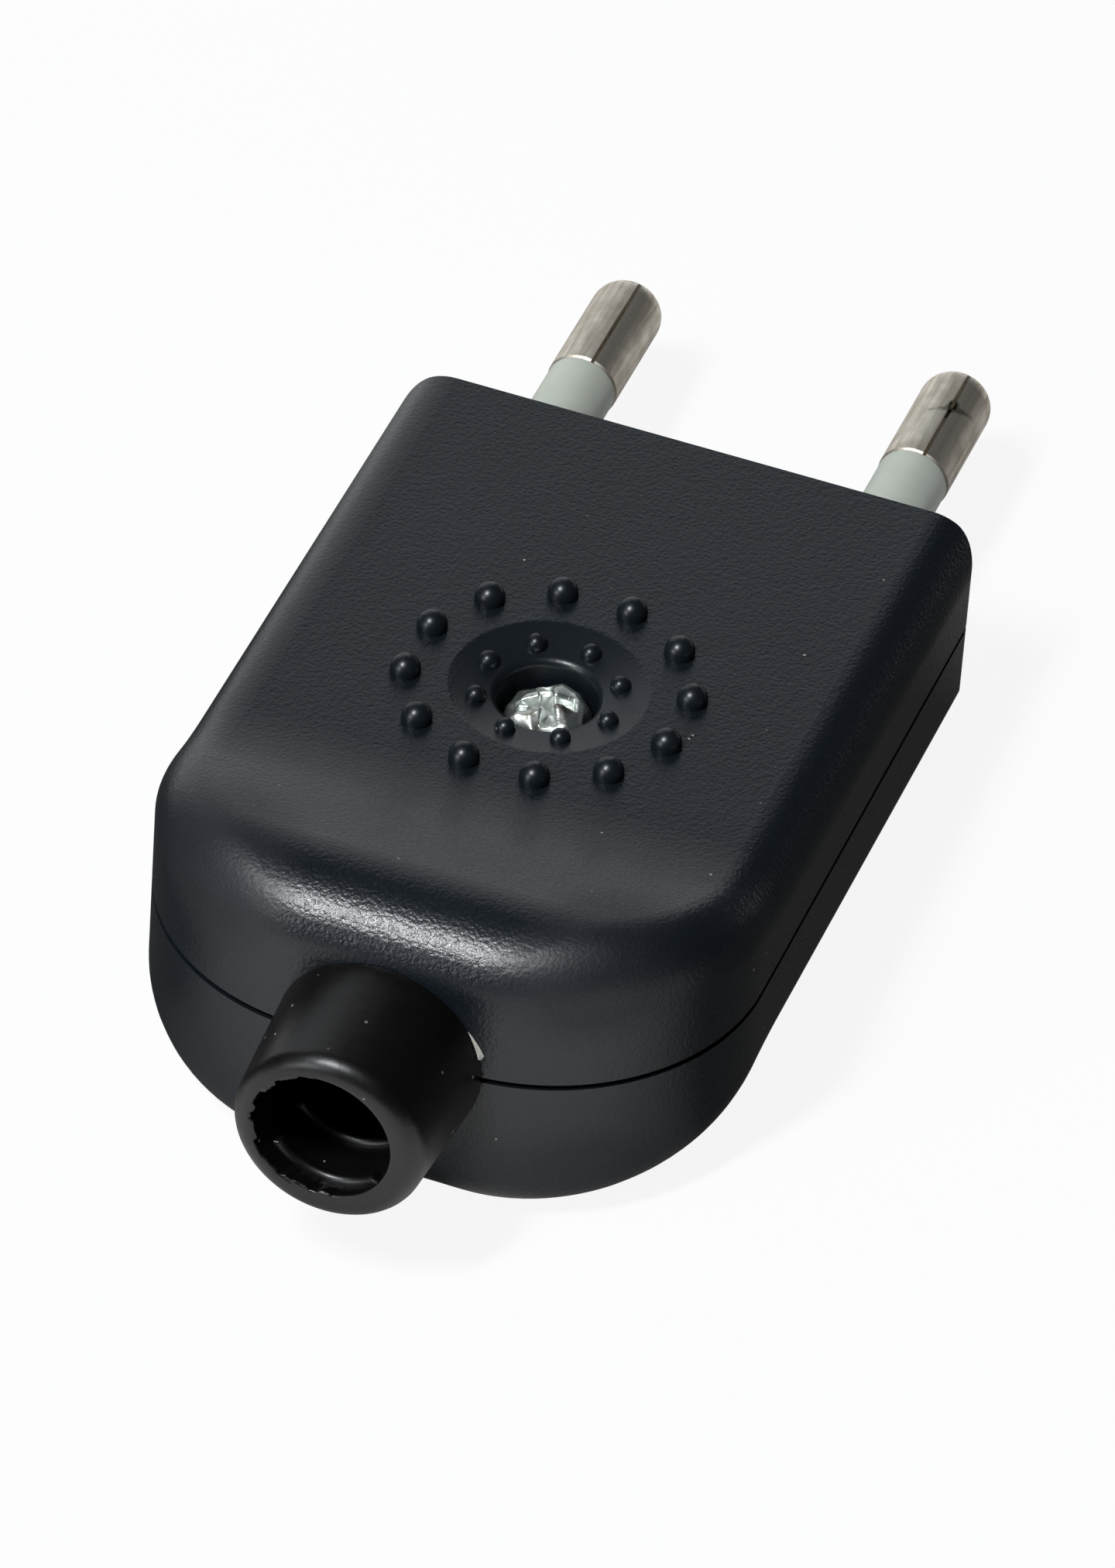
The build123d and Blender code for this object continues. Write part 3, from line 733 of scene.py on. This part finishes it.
class PLUG_OT_cord_guard(bpy.types.Operator):
    """Model the cord guard with its ridges and torn flash, and the sliver beside it"""

    bl_idname = "plug.cord_guard"
    bl_label = "Cord guard"

    def execute(self, context):
        sizes = context.scene.plug_guard
        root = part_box("upper_cover")[0].y
        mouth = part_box("cord_guard")[0].y
        guard = turn_profile("guard", self.profile(sizes, root, mouth), (0, 0, 0), (0, 1, 0), GUARD_STEPS)
        self.shorten_ridges(guard, sizes, mouth)
        self.tear_lip(guard, sizes, mouth)
        self.shift_hole(guard, sizes, mouth)
        leave_smooth(GUARD_SHARP)
        seat(guard, guard_rubber(sizes), "guard_rubber", "cord_guard")
        self.add_sliver(sizes, root)
        finish(clamp_plastic(context.scene.plug_covers), "cord_clamp")
        return {"FINISHED"}

    def profile(self, sizes, root, mouth):
        """The guard's section, from its collar round the outside and back through the bore."""
        bore = sizes.bore / 2
        collar = root + sizes.wall
        end = collar + sizes.flange_width
        edge = (sizes.mouth / 2 - sizes.mouth_round, mouth + sizes.mouth_round)
        lip = (bore + sizes.lip, mouth + sizes.lip)
        rings = [
            (bore, end), (sizes.flange / 2, end), (sizes.flange / 2, collar), (sizes.groove / 2, collar),
            (sizes.groove / 2, root), (sizes.root / 2, root),
        ]
        rings += arc(edge, sizes.mouth_round, 0, -90, MOUTH_STEPS)
        rings += arc(lip, sizes.lip, 270, 180, LIP_STEPS)
        swell = arc((0, 0), 1, 180, 0, RIDGE_STEPS)
        for place in (sizes.ridge_place, sizes.ridge_place + sizes.ridge_pitch):
            rings += [
                (bore - sizes.ridge * height, mouth + place + sizes.ridge_width / 2 * along)
                for along, height in swell
            ]
        rings.append(rings[0])
        return [Vector((radius, place, 0)) for radius, place in rings]

    def shorten_ridges(self, guard, sizes, mouth):
        """Lays the ridges flat on the bore, apart from the stretch at the bottom that grips the cord."""
        bore = sizes.bore / 2
        half = sizes.ridge_sweep / 2
        middle = sizes.ridge_start + half
        for step in range(1, RIDGE_STEPS // 2 + 1):
            radius = bore - sizes.ridge * sin(pi * step / RIDGE_STEPS)
            select_points(guard, lambda co: (
                abs(hypot(co.x, co.z) - radius) < WELD and abs(angle_between(co, middle)) > half
            ))
            bpy.ops.transform.resize(value=(bore / radius, 1, bore / radius), center_override=(0, mouth, 0))

    def tear_lip(self, guard, sizes, mouth):
        """Pulls stretches of the hole's edge in or out, as torn moulding flash."""
        chance = Random(TEAR_SEED)
        reach = sizes.bore / 2 + EDGE_REACH * sizes.lip
        depth = mouth + EDGE_DEPTH * sizes.lip
        pitch = sizes.torn / TEARS

        def on_edge(co, middle, half):
            return co.y < depth and hypot(co.x, co.z) < reach and abs(angle_between(co, middle)) < half

        for tear in range(TEARS):
            middle = sizes.torn_start + pitch * (tear + chance.random())
            half = chance.uniform(*TEAR_WIDTHS) * pitch / TEAR_PART
            select_points(guard, lambda co: on_edge(co, middle, half))
            pull = 1 + chance.uniform(*TEAR_PULLS) * sizes.tear / sizes.bore * 2
            bpy.ops.transform.resize(value=(pull, 1, pull), center_override=(0, mouth, 0))
        select_points(guard, lambda co: on_edge(co, sizes.torn_start + sizes.torn / 2, sizes.torn / 2))
        bpy.ops.transform.vertex_random(offset=sizes.fray, seed=FRAY_SEED)

    def shift_hole(self, guard, sizes, mouth):
        """Moves the mouth's hole off the axis, where the mould's core leaned."""
        reach = sizes.bore / 2 + HOLE_REACH * sizes.lip
        depth = mouth + sizes.hole_depth
        select_points(guard, lambda co: co.y < depth and hypot(co.x, co.z) < reach)
        bpy.ops.transform.translate(value=(-sizes.hole_left, 0, sizes.hole_up))

    def add_sliver(self, sizes, root):
        """A burr of whitened plastic that stands off the covers along the guard's root."""
        inner = sizes.root / 2
        width = sizes.sliver_width
        tip = inner + width * SLIVER_TIP
        corners = [(inner, root), (inner + width, root), (tip, root - width), (inner, root)]
        start = Matrix.Rotation(-sizes.sliver_start, 3, "Y")
        section = [start @ Vector((radius, place, 0)) for radius, place in corners]
        sliver = turn_profile("flash_sliver", section, (0, 0, 0), (0, 1, 0), SLIVER_STEPS, sizes.sliver)
        near = sizes.sliver / SLIVER_STEPS / 2
        for step in range(SLIVER_STEPS + 1):
            done = step / SLIVER_STEPS
            along = sizes.sliver_start + done * sizes.sliver
            select_points(sliver, lambda co: abs(atan2(co.z, co.x) - along) < near)
            if 0 < step < SLIVER_STEPS:
                foot = (inner * cos(along), root, inner * sin(along))
                bpy.ops.transform.resize(value=(1 - done,) * 3, center_override=foot)
            else:
                bpy.ops.mesh.merge(type="CENTER")
        bpy.ops.mesh.select_all(action="SELECT")
        bpy.ops.mesh.normals_make_consistent(inside=False)
        leave_smooth(SLIVER_SHARP)
        seat(sliver, whitened_plastic(sizes), "housing_plastic")


def apply_modifier(piece, kind, **options):
    """Adds a modifier with its options and applies it."""
    modifier = piece.modifiers.new(kind.title(), kind)
    for name, value in options.items():
        setattr(modifier, name, value)
    bpy.ops.object.select_all(action="DESELECT")
    bpy.context.view_layer.objects.active = piece
    piece.select_set(True)
    bpy.ops.object.modifier_apply(modifier=modifier.name)


class PLUG_OT_screws(bpy.types.Operator):
    """Model the chewed cover screw and finish the other screws and the nut"""

    bl_idname = "plug.screws"
    bl_label = "Screws"

    def execute(self, context):
        sizes = context.scene.plug_screw
        low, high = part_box("cover_screw")
        axis = (low + high) / 2
        profile = self.profile(sizes, axis, low.z, high.z)
        screw = turn_profile("chewed_screw", profile, axis, (0, 0, 1), SCREW_STEPS)
        bpy.ops.object.mode_set(mode="OBJECT")
        for turn in (sizes.slot_turn, sizes.slot_turn + pi / 2):
            self.cut_slot(screw, sizes, (axis.x, axis.y, high.z), turn)
        self.dent(screw, sizes, high.z - sizes.head_height)
        chewed = zinc_plating("Zinc-plated steel, chewed", sizes, sizes.chewed)
        seat(screw, chewed, "zinc_plated_steel", "cover_screw")
        zinc = zinc_plating("Zinc-plated steel", sizes, sizes.kept)
        finish(zinc, "cover_nut", "left_terminal_screw", "right_terminal_screw")
        finish(zinc, "left_clamp_screw", "right_clamp_screw")
        return {"FINISHED"}

    def profile(self, sizes, axis, tip, top):
        """The screw's section, from the tip up to the middle of the head."""
        under = top - sizes.head_height
        corner = (sizes.head / 2 - sizes.rounding, top - sizes.rounding)
        rings = [(0, tip), (sizes.shank / 2, tip), (sizes.shank / 2, under), (sizes.head / 2, under)]
        rings += arc(corner, sizes.rounding, 0, HEAD_TURN, HEAD_STEPS)
        rings += [(corner[0] / 2, top + CROWN_SHOULDER * sizes.crown), (0, top + sizes.crown)]
        return [Vector((axis.x + radius, axis.y, height)) for radius, height in rings]

    def cut_slot(self, screw, sizes, top, turn):
        """Cuts one slot of the cross into the head."""
        bpy.ops.object.select_all(action="DESELECT")
        bpy.ops.mesh.primitive_cube_add(size=1, location=top, rotation=(0, 0, turn))
        cutter = bpy.context.object
        cutter.scale = (sizes.slot, sizes.slot_width, 2 * sizes.slot_depth)
        bpy.ops.object.transform_apply()
        apply_modifier(screw, "BOOLEAN", object=cutter, operation="DIFFERENCE")
        bpy.data.objects.remove(cutter)

    def dent(self, screw, sizes, under):
        """Rounds the cross's edges and dents the head, as slipping screwdrivers leave it."""
        apply_modifier(screw, "REMESH", mode="VOXEL", voxel_size=sizes.fineness)
        group = "head"
        points = [point.index for point in screw.data.vertices if point.co.z > under]
        screw.vertex_groups.new(name=group).add(points, 1.0, "REPLACE")
        apply_modifier(screw, "SMOOTH", factor=SOFTNESS, iterations=SOFTENINGS, vertex_group=group)
        for name, kind, width, depth in (
            ("Screwdriver dents", "VORONOI", sizes.dent_width, sizes.dents),
            ("Burrs", "CLOUDS", sizes.burr_width, sizes.burrs),
        ):
            lumps = bpy.data.textures.new(name, kind)
            lumps.noise_scale = width
            apply_modifier(
                screw, "DISPLACE", texture=lumps, strength=depth, mid_level=UNMOVED, texture_coords="GLOBAL",
                vertex_group=group
            )
        apply_modifier(screw, "SMOOTH", factor=SOFTNESS, iterations=LAST_SOFTENINGS, vertex_group=group)
        bpy.ops.object.shade_smooth()


def table_glow_with_painted_shade(tree, place, table):
    """How bright the table is in reflections: white before and behind the plug, painted shade beside and
    under it.
    """
    axes = add_node(tree, "SeparateXYZ", {"Vector": place})
    aside = add_node(tree, "Math", {0: axes["X"]}, operation="ABSOLUTE")[0]
    # Painted contact shadow under the guard: near the axis the shade reaches further forward
    under = add_node(tree, "MapRange", {
        "Value": aside, "From Min": table.guard_core, "From Max": table.guard_edge,
        "To Min": table.guard_shade, "To Max": 0.0
    })["Result"]
    # Painted shade beside the plug: it reaches further forward on the left
    left = add_node(tree, "Math", {0: axes["X"], 1: 0.0}, operation="MINIMUM")[0]
    lean = add_node(tree, "Math", {0: left, 1: -table.left_lean, 2: under}, operation="MULTIPLY_ADD")[0]
    front = add_node(tree, "Math", {0: axes["Y"], 1: lean}, operation="ADD")[0]
    before = add_node(tree, "MapRange", {
        "Value": front, "From Min": -table.before_white, "From Max": -table.before_shade,
        "To Min": 1.0, "To Max": table.shade
    })["Result"]
    # Painted shade beside the right side, reaching back along the card
    right = add_node(tree, "Math", {0: axes["X"], 1: table.side}, operation="MAXIMUM")[0]
    rear = add_node(tree, "Math", {
        0: right, 1: -table.right_lean, 2: axes["Y"]
    }, operation="MULTIPLY_ADD")[0]
    start = -table.right_lean * table.side
    behind = add_node(tree, "MapRange", {
        "Value": rear, "From Min": start, "From Max": start + table.behind_white,
        "To Min": table.shade, "To Max": 1.0
    })["Result"]
    return add_node(tree, "Math", {0: before, 1: behind}, operation="MAXIMUM")[0]


def white_card(table):
    """Matt white card, which the camera sees as white with a faint shadow, and reflections as white before
    and behind the plug with painted shade beside and under it; clear from below."""
    material, tree, place = new_material("White card")
    rays = add_node(tree, "LightPath", {})
    seen = rays["Is Camera Ray"]
    mirrored = add_node(tree, "Math", {
        0: rays["Is Glossy Ray"], 1: rays["Is Transmission Ray"]
    }, operation="MAXIMUM")[0]
    looked_at = add_node(tree, "Math", {0: seen, 1: table.own_white}, operation="MULTIPLY")[0]
    glowing = add_node(tree, "Math", {0: looked_at, 1: mirrored}, operation="MAXIMUM")[0]
    # In reflections the card glows white, with painted shade beside and under the plug
    strength = add_node(tree, "Math", {0: seen, 1: table_glow_with_painted_shade(tree, place, table)}, operation="MAXIMUM")[0]
    card = add_node(tree, "BsdfDiffuse", {"Color": table.card})["BSDF"]
    glow = add_node(tree, "Emission", {"Strength": strength})["Emission"]
    top = add_node(tree, "MixShader", {0: glowing, 1: card, 2: glow})["Shader"]
    below = add_node(tree, "NewGeometry", {})["Backfacing"]
    clear = add_node(tree, "BsdfTransparent", {})["BSDF"]
    return dress(material, add_node(tree, "MixShader", {0: below, 1: top, 2: clear})["Shader"])


def resting_plane(clear):
    """The lowest point of the cable end, and the slope from it to the pin end's lower edge."""
    corners = [v.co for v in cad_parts["lower_cover"].data.vertices]
    foot = min(corners, key=lambda co: co.z)
    slopes = [atan2(co.z - foot.z, co.y - foot.y) for co in corners if co.y > foot.y + clear]
    return foot, min(slopes)


def add_lamp(name, light, watts, towards, reach, size):
    """A softbox that shines on the plug from that direction."""
    bpy.ops.object.light_add(type="AREA", location=Vector(towards).normalized() * reach)
    lamp = bpy.context.object
    lamp.name = name
    lamp.rotation_euler = lamp.location.to_track_quat("Z", "Y").to_euler()
    lamp.data.shape = "RECTANGLE"
    lamp.data.size = size[0]
    lamp.data.size_y = size[1]
    lamp.data.energy = watts
    lamp.data.color = light[:3]
    lamp.visible_camera = False


class PLUG_OT_stage(bpy.types.Operator):
    """Add the table, the room, the lamps and the camera"""

    bl_idname = "plug.stage"
    bl_label = "Stage"

    def execute(self, context):
        stage = context.scene.plug_stage
        context.scene.view_settings.view_transform = "Standard"
        self.add_table(context.scene.plug_table)
        self.add_room(context, stage)
        light = stage.light
        add_lamp("key_lamp", light, stage.key, stage.key_from, stage.key_reach, stage.key_size)
        add_lamp("back_panel", light, stage.back, stage.back_from, stage.back_reach, stage.back_size)
        add_lamp("front_panel", light, stage.front, stage.front_from, stage.front_reach, stage.front_size)
        self.add_camera(context, stage)
        return {"FINISHED"}

    def add_table(self, table):
        """A sheet of card in the plane that the plug rests on."""
        foot, slope = resting_plane(table.clear)
        bpy.ops.object.select_all(action="DESELECT")
        bpy.ops.mesh.primitive_plane_add(size=1, location=(0, foot.y, foot.z), rotation=(slope, 0, 0))
        sheet = bpy.context.object
        sheet.name = "table"
        sheet.scale = (table.width, table.width, 1)
        bpy.ops.object.transform_apply()
        sheet.data.materials.append(white_card(table))

    def add_room(self, context, stage):
        """A dark neutral room."""
        world = bpy.data.worlds.new("Room")
        world.use_nodes = True
        world.node_tree.nodes["Background"].inputs["Color"].default_value = stage.room
        context.scene.world = world

    def add_camera(self, context, stage):
        """The camera at the photograph's view."""
        bpy.ops.object.camera_add()
        camera = context.object
        camera.name = "camera"
        camera.data.lens = stage.lens
        turn = Matrix.Rotation(stage.azimuth, 4, "Z") @ Matrix.Rotation(pi / 2 - stage.elevation, 4, "X")
        turn = turn @ Matrix.Rotation(stage.roll, 4, "Z")
        back = turn.col[2].to_3d()
        camera.matrix_world = Matrix.Translation(Vector(stage.aim) + back * stage.distance) @ turn
        camera.data.clip_start = stage.nearest
        context.scene.camera = camera


class PLUG_PT_panel(bpy.types.Panel):
    """Lists the plug's steps"""

    bl_idname = "PLUG_PT_panel"
    bl_label = "Two-pin plug"
    bl_space_type = "VIEW_3D"
    bl_region_type = "UI"
    bl_category = "Plug"

    def draw(self, context):
        for step in STEPS:
            self.layout.operator(step.bl_idname)


STEPS = (PLUG_OT_covers, PLUG_OT_pins, PLUG_OT_cord_guard, PLUG_OT_screws, PLUG_OT_stage)
GROUPS = {
    "plug_covers": PlugCovers,
    "plug_pins": PlugPins,
    "plug_sleeve": PlugSleeve,
    "plug_guard": PlugGuard,
    "plug_screw": PlugScrew,
    "plug_table": PlugTable,
    "plug_stage": PlugStage,
}
CLASSES = (*GROUPS.values(), *STEPS, PLUG_PT_panel)


def register():
    for cls in CLASSES:
        bpy.utils.register_class(cls)
    for name, group in GROUPS.items():
        setattr(bpy.types.Scene, name, bpy.props.PointerProperty(type=group))


def unregister():
    for name in GROUPS:
        delattr(bpy.types.Scene, name)
    for cls in reversed(CLASSES):
        bpy.utils.unregister_class(cls)


def main():
    register()
    bpy.ops.object.select_all(action="DESELECT")
    bpy.ops.plug.covers()
    bpy.ops.plug.pins()
    bpy.ops.plug.cord_guard()
    bpy.ops.plug.screws()
    bpy.ops.plug.stage()


if __name__ == "__main__":
    main()
